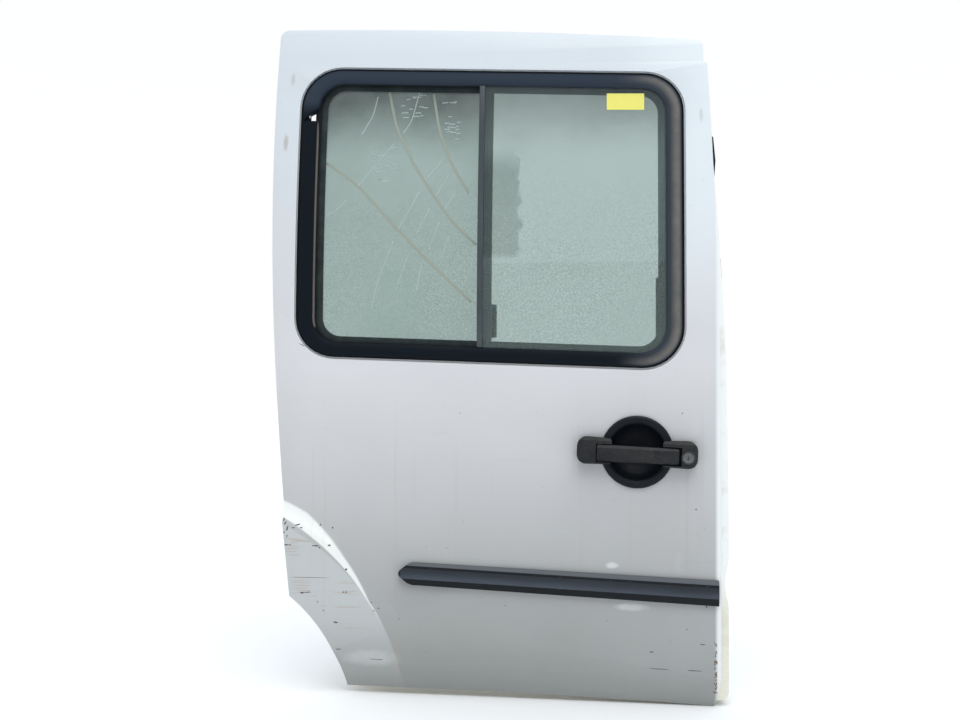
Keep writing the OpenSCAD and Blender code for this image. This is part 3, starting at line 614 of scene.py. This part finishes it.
def finish(slot):
    """The material of a slot, made once from the door's settings."""
    s = bpy.context.scene.door_finish
    makers = {
        "white_paint": lambda: paint(s.paint_colour, s.grime_and_shade_colour),
        "inner_paint": lambda: inner_paint(s.inner_colour, s.cream_colour),
        "black_frame": lambda: frame_plastic(s.frame_colour, s.dust_and_highlight_colour),
        "tinted_glass": lambda: glass("front tinted glass", s.glass_colour, 0.37),
        "rear_tinted_glass": lambda: glass("rear tinted glass", s.rear_glass_colour, 0.13),
        "guide_band": guide_band,
        "black_plastic": lambda: plastic("black plastic", (0.012, 0.013, 0.015),
                                         (0.035, 0.036, 0.038)),
        "grey_rail": lambda: plastic("grey rail", (0.080, 0.105, 0.120), (0.13, 0.15, 0.16), 300,
                                     (0.35, 0.5), 0.3, 0.1, 0.5),
        "handle_plastic": lambda: handle_plastic(s.handle_colour),
        "divider_plastic": lambda: plastic("divider bar", (0.050, 0.062, 0.070),
                                           (0.085, 0.10, 0.11), 500, (0.4, 0.55), 0.2, 0.1, 0.3),
        "bright_steel": lambda: metal("bright steel", (0.17, 0.18, 0.19), (0.35, 0.55)),
        "blackened_steel": lambda: metal("blackened steel", (0.03, 0.03, 0.03), (0.4, 0.6)),
        "dull_steel": lambda: metal("dull steel", (0.36, 0.36, 0.34), (0.45, 0.62), 0.4),
        "moulding_plastic": lambda: moulding_plastic(s.moulding_bevel_highlight, s.moulding_face,
                                                     s.moulding_painted_shade),
        "grey_trim": lambda: plastic("grey trim", (0.16, 0.165, 0.17), (0.22, 0.22, 0.215), 600),
        "black_rubber": lambda: plastic("black rubber", (0.008, 0.008, 0.009),
                                        (0.022, 0.022, 0.022), 500, (0.7, 0.85), 0.2, 0.2, 0.2),
    }
    if slot not in MADE:
        MADE[slot] = makers[slot]()
    return MADE[slot]


def dress(node, finish_name=None):
    """Gives a CAD node whose shape is right its real finish."""
    mesh = frame["nodes"][node].data
    mesh.materials.clear()
    mesh.materials.append(finish(finish_name or SLOTS[node]))


# Settings
class DoorFinish(bpy.types.PropertyGroup):
    """Sizes and colours of the finished door."""
    paint_colour: FloatVectorProperty(name="Paint",
                                      description="Colour of the outer paint",
                                      subtype="COLOR", default=(0.715, 0.705, 0.715), min=0, max=1)
    # Partly road film, partly painted shade: the colour low on the skin.
    grime_and_shade_colour: FloatVectorProperty(name="Road film",
                                      description="Colour of the film low on the skin",
                                      subtype="COLOR", default=(0.262, 0.270, 0.258), min=0, max=1)
    inner_colour: FloatVectorProperty(name="Inner paint",
                                      description="Colour of the inner panel",
                                      subtype="COLOR", default=(0.93, 0.94, 0.92), min=0, max=1)
    cream_colour: FloatVectorProperty(name="Low inner paint",
                                      description="Colour low on the front rim",
                                      subtype="COLOR", default=(0.84, 0.81, 0.70), min=0, max=1)
    frame_colour: FloatVectorProperty(name="Window frame",
                                      description="Colour of the window frame",
                                      subtype="COLOR", default=(0.006, 0.009, 0.014), min=0, max=1)
    # Dust and a painted highlight on the crown of the frame's front side.
    dust_and_highlight_colour: FloatVectorProperty(name="Frame dust",
                                     description="Dust down the frame's front side",
                                     subtype="COLOR", default=(0.190, 0.175, 0.160), min=0, max=1)
    glass_colour: FloatVectorProperty(name="Front glass tint",
                                      description="Tint of the fixed pane",
                                      subtype="COLOR", default=(0.46, 0.57, 0.545), min=0, max=1)
    rear_glass_colour: FloatVectorProperty(name="Rear glass tint",
                                           description="Tint of the sliding pane",
                                           subtype="COLOR", default=(0.36, 0.465, 0.435),
                                           min=0, max=1)
    handle_colour: FloatVectorProperty(name="Handle",
                                       description="Colour of the outside handle",
                                       subtype="COLOR", default=(0.004, 0.006, 0.010),
                                       min=0, max=1)
    # Painted highlight on the moulding's upper bevel.
    moulding_bevel_highlight: FloatVectorProperty(name="Moulding bevel",
                                        description="Upper bevel of the moulding",
                                        subtype="COLOR", default=(0.10, 0.11, 0.12), min=0, max=1)
    moulding_face: FloatVectorProperty(name="Moulding face",
                                       description="Faded face of the moulding",
                                       subtype="COLOR", default=(0.065, 0.078, 0.098),
                                       min=0, max=1)
    # Painted shade in the moulding's groove and on its bottom bevel.
    moulding_painted_shade: FloatVectorProperty(name="Moulding border",
                                         description="Border of the moulding's face",
                                         subtype="COLOR", default=(0.006, 0.008, 0.011),
                                         min=0, max=1)
    edge_round: FloatProperty(name="Panel edge", description="Rounding of the skin's folded edge",
                              unit="LENGTH", default=0.0025, min=0.0002, max=0.004)
    handle_round: FloatProperty(name="Handle edge", description="Rounding of the handle's edges",
                                unit="LENGTH", default=0.0014, min=0.0002, max=0.003)
    chip_count: IntProperty(name="Stone chips", description="Number of small chips in the paint",
                            default=46, min=0, max=200)


# Pieces
class DOOR_OT_stage(bpy.types.Operator):
    """Adds the floor, the soft light and the camera"""
    bl_idname = "door.stage"
    bl_label = "Stage"

    def execute(self, context):
        scene = context.scene
        bm = bmesh.new()
        bmesh.ops.create_grid(bm, x_segments=1, y_segments=1, size=14)
        bmesh.ops.translate(bm, verts=bm.verts, vec=(0, 0, CAD_BOX[0][2] - FLOOR_GAP))
        mesh = bpy.data.meshes.new("floor")
        bm.to_mesh(mesh)
        bm.free()
        floor = bpy.data.objects.new("floor", mesh)
        n = Nodes("pale floor")
        n.set(Base_Color=n.blend(n.noise(3), (0.86, 0.86, 0.86, 1), (0.84, 0.84, 0.84, 1)),
              Roughness=0.9, Specular_IOR_Level=0.1)
        floor.data.materials.append(n.mat)
        scene.collection.objects.link(floor)

        world = bpy.data.worlds.new("studio")
        world.use_nodes = True
        tree = world.node_tree
        split = tree.nodes.new("ShaderNodeSeparateXYZ")
        tree.links.new(tree.nodes.new("ShaderNodeTexCoord").outputs["Generated"], split.inputs[0])
        colour = (1.0, 1.0, 1.0, 1)
        for axis, low, high, other in (("Y", 0.25, -0.35, (0.38, 0.40, 0.42, 1)),
                                       ("Z", 0.15, 0.95, (0.88, 0.98, 1.08, 1))):
            share = tree.nodes.new("ShaderNodeMapRange")
            share.interpolation_type = "SMOOTHSTEP"
            share.inputs["From Min"].default_value = low
            share.inputs["From Max"].default_value = high
            mix = tree.nodes.new("ShaderNodeMix")
            mix.data_type = "RGBA"
            mix.inputs[7].default_value = other
            if isinstance(colour, tuple):
                mix.inputs[6].default_value = colour
            else:
                tree.links.new(colour, mix.inputs[6])
            tree.links.new(split.outputs[axis], share.inputs["Value"])
            tree.links.new(share.outputs[0], mix.inputs["Factor"])
            colour = mix.outputs[2]
        tree.links.new(colour, tree.nodes["Background"].inputs["Color"])
        scene.world = world
        scene.view_settings.view_transform = "Standard"
        light = bpy.data.lights.new("soft overhead light", "SUN")
        light.energy, light.angle, light.color = 1.5, math.radians(50), (1.0, 0.985, 0.95)
        lamp = bpy.data.objects.new("soft overhead light", light)
        lamp.rotation_euler = Vector((-0.12, 0.36, -0.93)).to_track_quat("-Z", "Y").to_euler()
        scene.collection.objects.link(lamp)

        data = bpy.data.cameras.new("camera")
        data.sensor_width, data.lens = 36, CAMERA_LENS
        camera = bpy.data.objects.new("camera", data)
        camera.location = at(*CAMERA_PLACE)
        camera.rotation_euler = (math.radians(90), 0, math.radians(CAMERA_TURN))
        scene.collection.objects.link(camera)
        scene.camera = camera
        return {"FINISHED"}


class DOOR_OT_skin(bpy.types.Operator):
    """Makes the painted outer skin with rounded folds and its wheel arch flare"""
    bl_idname = "door.skin"
    bl_label = "Outer skin"

    def execute(self, context):
        s = context.scene.door_finish
        bm = merged("outer_skin")
        low = at(WINDOW_LEFT - 14, 0, WINDOW_LOW - 26)
        high = at(WINDOW_RIGHT + 14, 0, WINDOW_TOP + 30)

        def by_window(edge):
            return all(low.x < v.co.x < high.x and low.z < v.co.z < high.z for v in edge.verts)

        round_edges(bm, s.edge_round, 3, 55, where=lambda e: not by_window(e))
        round_edges(bm, 0.0004, 2, 55, where=by_window)
        bm.normal_update()
        settle(bm, "painted_skin", "white_paint", replaces=("outer_skin",), smooth=24)
        return {"FINISHED"}


class DOOR_OT_inner_panel(bpy.types.Operator):
    """Makes the pressed inner panel with its rounded rim"""
    bl_idname = "door.inner_panel"
    bl_label = "Inner panel"

    def execute(self, context):
        bm = merged("inner_panel")
        round_edges(bm, 0.0009, 2, 60)
        bm.normal_update()
        settle(bm, "painted_inner_panel", "inner_paint", replaces=("inner_panel",), smooth=24)
        return {"FINISHED"}


class DOOR_OT_window(bpy.types.Operator):
    """Makes the crowned window frame, its seals, panes, tracks and divider"""
    bl_idname = "door.window"
    bl_label = "Sliding window"

    def execute(self, context):
        loft("crowned_window_frame", FRAME_SECTION, "black_frame", ("window_frame",))
        loft("pane_seal", SEAL_SECTION, "black_rubber")
        band = loft("pane_guide", GUIDE_SECTION, "black_plastic")
        band.data.materials[0] = finish("guide_band")
        dress("front_glass")
        dress("rear_glass", finish_name="rear_tinted_glass")
        divider = rounded_node("window_divider", 0.0012, 2, 50)
        divider.data.materials[0] = finish("divider_plastic")
        for node, width in (("sliding_stile", 0.0010),
                            ("upper_glass_track", 0.0006), ("lower_glass_track", 0.0006),
                            ("window_latch", 0.0020), ("window_catch", 0.0020),
                            ("window_clamp_ring", 0.0006)):
            rounded_node(node, width, 2, 50)
        return {"FINISHED"}


class DOOR_OT_handle(bpy.types.Operator):
    """Makes the dished outside handle with its grip, pin and lock"""
    bl_idname = "door.handle"
    bl_label = "Outside handle"

    def execute(self, context):
        s = context.scene.door_finish
        rounded_node("handle_base", s.handle_round, 3, 24)
        rounded_node("handle_grip", s.handle_round, 3, 24)
        rounded_node("lock_bezel", 0.0008, 3, 50)
        rounded_node("lock_plug", 0.0004, 2, 50)
        dress("handle_pin", finish_name="blackened_steel")
        return {"FINISHED"}


class DOOR_OT_moulding(bpy.types.Operator):
    """Makes the side moulding with its bevelled, chipped edges"""
    bl_idname = "door.moulding"
    bl_label = "Side moulding"

    def execute(self, context):
        bm = merged("side_moulding")
        front = max(bm.faces, key=lambda f: -f.normal.y * f.calc_area())
        bmesh.ops.inset_region(bm, faces=[front], thickness=0.0012, depth=-0.0005)
        round_edges(bm, 0.0012, 3, 40)
        round_edges(bm, 0.0006, 2, 12, wear=False)
        bm.normal_update()
        settle(bm, "side_moulding_finished", "moulding_plastic", replaces=("side_moulding",))
        return {"FINISHED"}


class DOOR_OT_inner_fittings(bpy.types.Operator):
    """Makes the trim panel, inner handle, grab handle, latches, pads and stops"""
    bl_idname = "door.inner_fittings"
    bl_label = "Inner fittings"

    # Each fitting with the rounding of its edges in metres and the steps of that rounding
    fittings = (("trim_panel", 0.0009, 2), ("inner_handle_bezel", 0.0008, 2),
                ("inner_handle_lever", 0.0024, 3), ("grab_handle", 0.0045, 4),
                ("front_latch", 0.0012, 2), ("rear_latch", 0.0012, 2),
                ("front_latch_claw", 0.0008, 2), ("rear_latch_claw", 0.0008, 2),
                ("upper_arm_pad", 0.0006, 2), ("centre_hinge_pad", 0.0006, 2),
                ("lower_arm_pad", 0.0006, 2), ("front_guide_sockets", 0.0003, 2),
                ("rear_guide_wedges", 0.0016, 2), ("bump_stops", 0.0016, 3),
                ("hole_plugs", 0.0008, 3))

    def execute(self, context):
        for node, width, segments in self.fittings:
            rounded_node(node, width, segments, 50)
        bm = merged("front_edge_buffer")
        bmesh.ops.translate(bm, vec=(-BUFFER_PRESSED_IN, 0, 0), verts=bm.verts)
        round_edges(bm, 0.0012, 2, 50)
        settle(bm, "front_edge_buffer_finished", "black_rubber", replaces=("front_edge_buffer",))
        return {"FINISHED"}


class DOOR_OT_fasteners(bpy.types.Operator):
    """Adds the trim's push clips and the screws of the inner handle's bezel"""
    bl_idname = "door.fasteners"
    bl_label = "Fasteners"

    # Places along the door and heights, and the depths of the faces they sit on, in millimetres
    clip_places = ((-235, 515), (-90, 520), (60, 516), (210, 508), (352, 500), (352, 330),
                   (352, 175), (200, 168), (20, 168), (-140, 172), (-235, 320), (-245, 420))
    screw_places = ((265, 414.5), (335, 414.5))
    trim_face, bezel_face = 83, 87

    def execute(self, context):
        inward = Vector((0, 1, 0))
        clips = bmesh.new()
        for x, z in self.clip_places:
            self.head(clips, at(x, self.trim_face, z), inward,
                      radius=0.0075, height=0.0022, sides=20)
        settle(clips, "trim_clips", "black_plastic")
        screws = bmesh.new()
        for x, z in self.screw_places:
            self.head(screws, at(x, self.bezel_face, z), inward,
                      radius=0.0032, height=0.0012, sides=16)
        settle(screws, "bezel_screws", "bright_steel")
        return {"FINISHED"}

    @staticmethod
    def head(bm, place, normal, radius, height, sides):
        """A low domed head: a disc drawn out and drawn in toward its top."""
        made = bmesh.ops.create_circle(bm, cap_ends=True, radius=radius, segments=sides)["verts"]
        turn = normal.to_track_quat("Z", "Y").to_matrix().to_4x4()
        bmesh.ops.transform(bm, matrix=Matrix.Translation(place) @ turn, verts=made)
        face = made[0].link_faces[0]
        for share, lift in ((0.94, 0.55), (0.72, 0.30), (0.40, 0.15)):
            grown = bmesh.ops.extrude_face_region(bm, geom=[face])["geom"]
            bmesh.ops.delete(bm, geom=[face], context="FACES_ONLY")
            face = next(g for g in grown if isinstance(g, bmesh.types.BMFace))
            bmesh.ops.translate(bm, verts=face.verts, vec=normal * height * lift)
            middle = face.calc_center_median()
            for vert in face.verts:
                vert.co = middle + (vert.co - middle) * share
        bmesh.ops.recalc_face_normals(bm, faces=bm.faces)


class DOOR_OT_wear(bpy.types.Operator):
    """Adds the chips, scratches and rust marks to the paint"""
    bl_idname = "door.wear"
    bl_label = "Paint damage"

    rust_count = 44
    # Each mark: place along the door and height, length and width in millimetres, turn in degrees
    dark = ((-306, 303, 5, 2.5, 60), (-284, 298, 3.5, 3, 70), (-287, 268, 6, 3.5, -10),
            (-257, 225, 5, 3.5, 30), (-277, 129, 9, 3, -10), (-262, 184, 4, 2, 0),
            (-257, 184, 3.5, 2.5, 0), (-212, 166, 3, 2, 40), (-208, 151, 5, 1.6, 0),
            (-199, 156, 3, 2, 0), (-162, 137, 3, 2, 0), (-370, 313, 7, 2.4, 80),
            (-367, 307, 8, 2.6, 60), (-363, 298, 9, 3, 70), (-369, 291, 4, 2.5, 0),
            (-364, 284, 5, 2, 80), (-345, 304, 9, 2.6, 10), (-352, 299, 6, 2.5, -10),
            (-338, 299, 6, 2, -10), (-310, 267, 10, 2.2, -4), (-305, 264, 5, 2, -30),
            (-316, 267, 6, 2, 0), (-366, 268, 9, 2.5, 0), (-359, 268, 5, 1.8, 0),
            (-325, 209.5, 78, 0.8, 0), (-332, 182.5, 22, 1.3, 2), (-338, 181, 8, 2, -15),
            (-326, 183, 6, 1.8, 10), (-272, 80.5, 13, 1.4, 0), (-203, 63.5, 30, 1.0, -1),
            (-299, 150, 6, 1.6, -30), (-310, 166, 5, 1.4, -30), (-340, 627, 16, 1.2, -25),
            (378, 174, 3.6, 3.6, 0), (360, 342, 3, 2.4, 0), (337, 508, 3, 2.4, 0),
            (371, 109, 10, 1.6, -4), (284, 93, 8, 1.8, 0), (300, 64, 40, 1.0, -1),
            (358, 63, 26, 1.4, -1))
    tan = ((-350, 265, 24, 1.0, 2), (-354, 261, 30, 1.3, 0), (-355, 256, 24, 1.1, 0),
           (-350, 250, 28, 0.9, -1), (-340, 204, 34, 0.9, 2), (-341, 200, 42, 1.1, -2),
           (-337, 195, 38, 1.2, -2), (-342, 190, 30, 1.0, 0), (-334, 186, 32, 0.9, -3),
           (-352, 272, 20, 0.8, 0), (-316, 176, 16, 0.9, -4), (-300, 158, 12, 0.9, 8))

    def execute(self, context):
        rng = random.Random(7)
        touch = skin_surface()
        dark, tan, brown = bmesh.new(), bmesh.new(), bmesh.new()
        for mark in self.dark:
            self.mark(dark, touch, rng, *mark)
        for mark in self.tan:
            self.mark(tan, touch, rng, *mark)
        for _ in range(context.scene.door_finish.chip_count):
            x, z = rng.uniform(-330, 380), rng.uniform(70, 540)
            size = rng.uniform(0.7, 1.7)
            by_handle = all(abs(place - middle) < half for place, middle, half in
                            zip((x, z), HANDLE_MIDDLE, HANDLE_HALF_SIZE))
            by_moulding = abs(z - MOULDING_HEIGHT) < MOULDING_HALF_BAND
            if by_handle or by_moulding or x < FLARE_EDGE:
                continue
            self.mark(dark, touch, rng, x, z, size * 1.5, size, rng.uniform(0, 180))
        for _ in range(self.rust_count):
            self.mark(brown, touch, rng, rng.uniform(391, 396), rng.uniform(24, 112),
                      rng.uniform(2, 6), rng.uniform(1.0, 2.6), 90)
        for bm, name, colours in ((dark, "dark_chips", ((0.03, 0.028, 0.026), (0.09, 0.08, 0.07))),
                                  (tan, "tan_scratches", ((0.56, 0.42, 0.32), (0.46, 0.38, 0.32))),
                                  (brown, "rust_chips", ((0.30, 0.15, 0.07), (0.12, 0.06, 0.04)))):
            obj = settle(bm, name, "white_paint")
            obj.data.materials[0] = bare_marks(name.replace("_", " "), *colours)
        return {"FINISHED"}

    @staticmethod
    def mark(bm, touch, rng, x, z, length, width, turn):
        """An uneven patch lying a hair above the paint."""
        made = bmesh.ops.create_circle(bm, cap_ends=True, radius=0.5, segments=12)["verts"]
        a = math.radians(turn)
        for vert in made:
            swell = rng.uniform(0.65, 1.15)
            u, w = vert.co.x * length * swell, vert.co.y * width * swell
            hit, normal = touch(x + u * math.cos(a) - w * math.sin(a),
                                z + u * math.sin(a) + w * math.cos(a))
            vert.co = hit + normal * MARK_LIFT


class DOOR_OT_pane_marks(bpy.types.Operator):
    """Adds the long curved lines and the short scratches on the sliding pane"""
    bl_idname = "door.pane_marks"
    bl_label = "Marks on the pane"

    # Paths along the pane, in millimetres
    runs = (((-197, 1099), (-181, 1027), (-146, 955), (-103, 888), (-65, 838), (-29, 806)),
            ((-113, 1089), (-101, 1020), (-77, 954), (-44, 900)),
            ((-310, 962), (-252, 920), (-200, 864), (-143, 803), (-87, 748), (-37, 702)))
    scratches = (((-216, 1088), (-224, 1052), (-244, 1016)),
                 ((-138, 1095), (-151, 1040), (-166, 1017)),
                 ((-184, 996), (-214, 961), (-248, 920)), ((-133, 907), (-171, 838)),
                 ((-180, 817), (-207, 749), (-220, 694)), ((-269, 895), (-285, 878), (-307, 865)),
                 ((-93, 963), (-120, 932)), ((-81, 935), (-103, 899)), ((-67, 907), (-87, 871)),
                 ((-114, 876), (-137, 830)), ((-95, 851), (-115, 801)), ((-77, 825), (-92, 784)),
                 ((-155, 785), (-174, 728)), ((-127, 776), (-137, 726)))

    def execute(self, context):
        rng = random.Random(3)
        dashes = [((x, z), (x + rng.uniform(4, 12), z + rng.uniform(-1, 1)))
                  for x0, x1, z0, z1 in ((-184, -128, 1044, 1088), (-227, -180, 925, 990),
                                         (-95, -62, 1000, 1075))
                  for x, z in ((rng.uniform(x0, x1), rng.uniform(z0, z1)) for _ in range(16))]
        scratches = (*self.scratches, *dashes)
        for name, paths, width, tone, other in (
                ("curved_lines", self.runs, 4.6, (0.35, 0.37, 0.30), (0.28, 0.33, 0.28)),
                ("pane_scratches", scratches, 1.7, (0.46, 0.54, 0.51), (0.36, 0.44, 0.41))):
            bm = bmesh.new()
            for path in paths:
                self.ribbon(bm, path, width)
            bmesh.ops.recalc_face_normals(bm, faces=bm.faces)
            obj = settle(bm, name, "tinted_glass")
            obj.data.materials[0] = bare_marks(name.replace("_", " "), tone, other)
        return {"FINISHED"}

    @staticmethod
    def ribbon(bm, path, width):
        """A thin mark along a path: its line drawn across, then given a little thickness."""
        fine = [Vector(path[0])]
        for one, other in zip(path, path[1:]):
            fine += [Vector(one).lerp(Vector(other), (i + 1) / 6) for i in range(6)]
        for _ in range(2):
            eased = ((a + b * 2 + c) / 4 for a, b, c in zip(fine, fine[1:], fine[2:]))
            fine = [fine[0], *eased, fine[-1]]
        side = Vector((path[0][1] - path[-1][1], path[-1][0] - path[0][0])).normalized()
        verts = [bm.verts.new((p.x, 0, p.y)) for p in fine]
        edges = [bm.edges.new(pair) for pair in zip(verts, verts[1:])]
        made = bmesh.ops.extrude_edge_only(bm, edges=edges)["geom"]
        moved = {g for g in made if isinstance(g, bmesh.types.BMVert)}
        bmesh.ops.translate(bm, verts=list(moved), vec=(side.x * width, 0, side.y * width))
        faces = [g for g in made if isinstance(g, bmesh.types.BMFace)]
        made = bmesh.ops.extrude_face_region(bm, geom=faces)["geom"]
        lifted = {g for g in made if isinstance(g, bmesh.types.BMVert)}
        for vert in {v for f in faces for v in f.verts} | lifted:
            depth = REAR_PANE - (0.08 if vert in lifted else 0.0)
            vert.co = at(vert.co.x, lean(vert.co.z) + depth, vert.co.z)


class DOOR_OT_sticker(bpy.types.Operator):
    """Adds the plain yellow card stuck to the front pane"""
    bl_idname = "door.sticker"
    bl_label = "Yellow card"

    def execute(self, context):
        bm = bmesh.new()
        bmesh.ops.create_grid(bm, x_segments=8, y_segments=4, size=0.5)
        for vert in bm.verts:
            x, z = (middle + share * size for middle, share, size in
                    zip(CARD_MIDDLE, vert.co.xy, CARD_SIZE))
            fall = CARD_FALL * (x - CARD_MIDDLE[0])
            vert.co = at(x, lean(z) + FRONT_PANE - 0.4, z - fall)
        bmesh.ops.recalc_face_normals(bm, faces=bm.faces)
        if sum(f.normal.y for f in bm.faces) > 0:
            bmesh.ops.reverse_faces(bm, faces=bm.faces)
        bmesh.ops.solidify(bm, geom=bm.faces[:], thickness=0.0002)
        obj = settle(bm, "yellow_card", "black_plastic")
        obj.data.materials[0] = label_card()
        return {"FINISHED"}


class DOOR_PT_panel(bpy.types.Panel):
    """Lists the door's settings and pieces"""
    bl_idname = "DOOR_PT_panel"
    bl_label = "Van sliding door"
    bl_space_type = "VIEW_3D"
    bl_region_type = "UI"
    bl_category = "Door"

    def draw(self, context):
        for name in DoorFinish.__annotations__:
            self.layout.prop(context.scene.door_finish, name)
        for operator in OPERATORS:
            self.layout.operator(operator.bl_idname)


OPERATORS = (DOOR_OT_stage, DOOR_OT_skin, DOOR_OT_inner_panel, DOOR_OT_window, DOOR_OT_handle,
             DOOR_OT_moulding, DOOR_OT_inner_fittings, DOOR_OT_fasteners, DOOR_OT_wear,
             DOOR_OT_pane_marks, DOOR_OT_sticker)
CLASSES = (DoorFinish, *OPERATORS, DOOR_PT_panel)


def register():
    """Adds the door's settings, operators and panel."""
    for cls in CLASSES:
        bpy.utils.register_class(cls)
    bpy.types.Scene.door_finish = PointerProperty(type=DoorFinish)


def unregister():
    """Takes them away again."""
    del bpy.types.Scene.door_finish
    for cls in reversed(CLASSES):
        bpy.utils.unregister_class(cls)


def main():
    """Builds the finished door."""
    register()
    for operator in OPERATORS:
        group, name = operator.bl_idname.split(".")
        getattr(getattr(bpy.ops, group), name)()


if __name__ == "__main__":
    main()
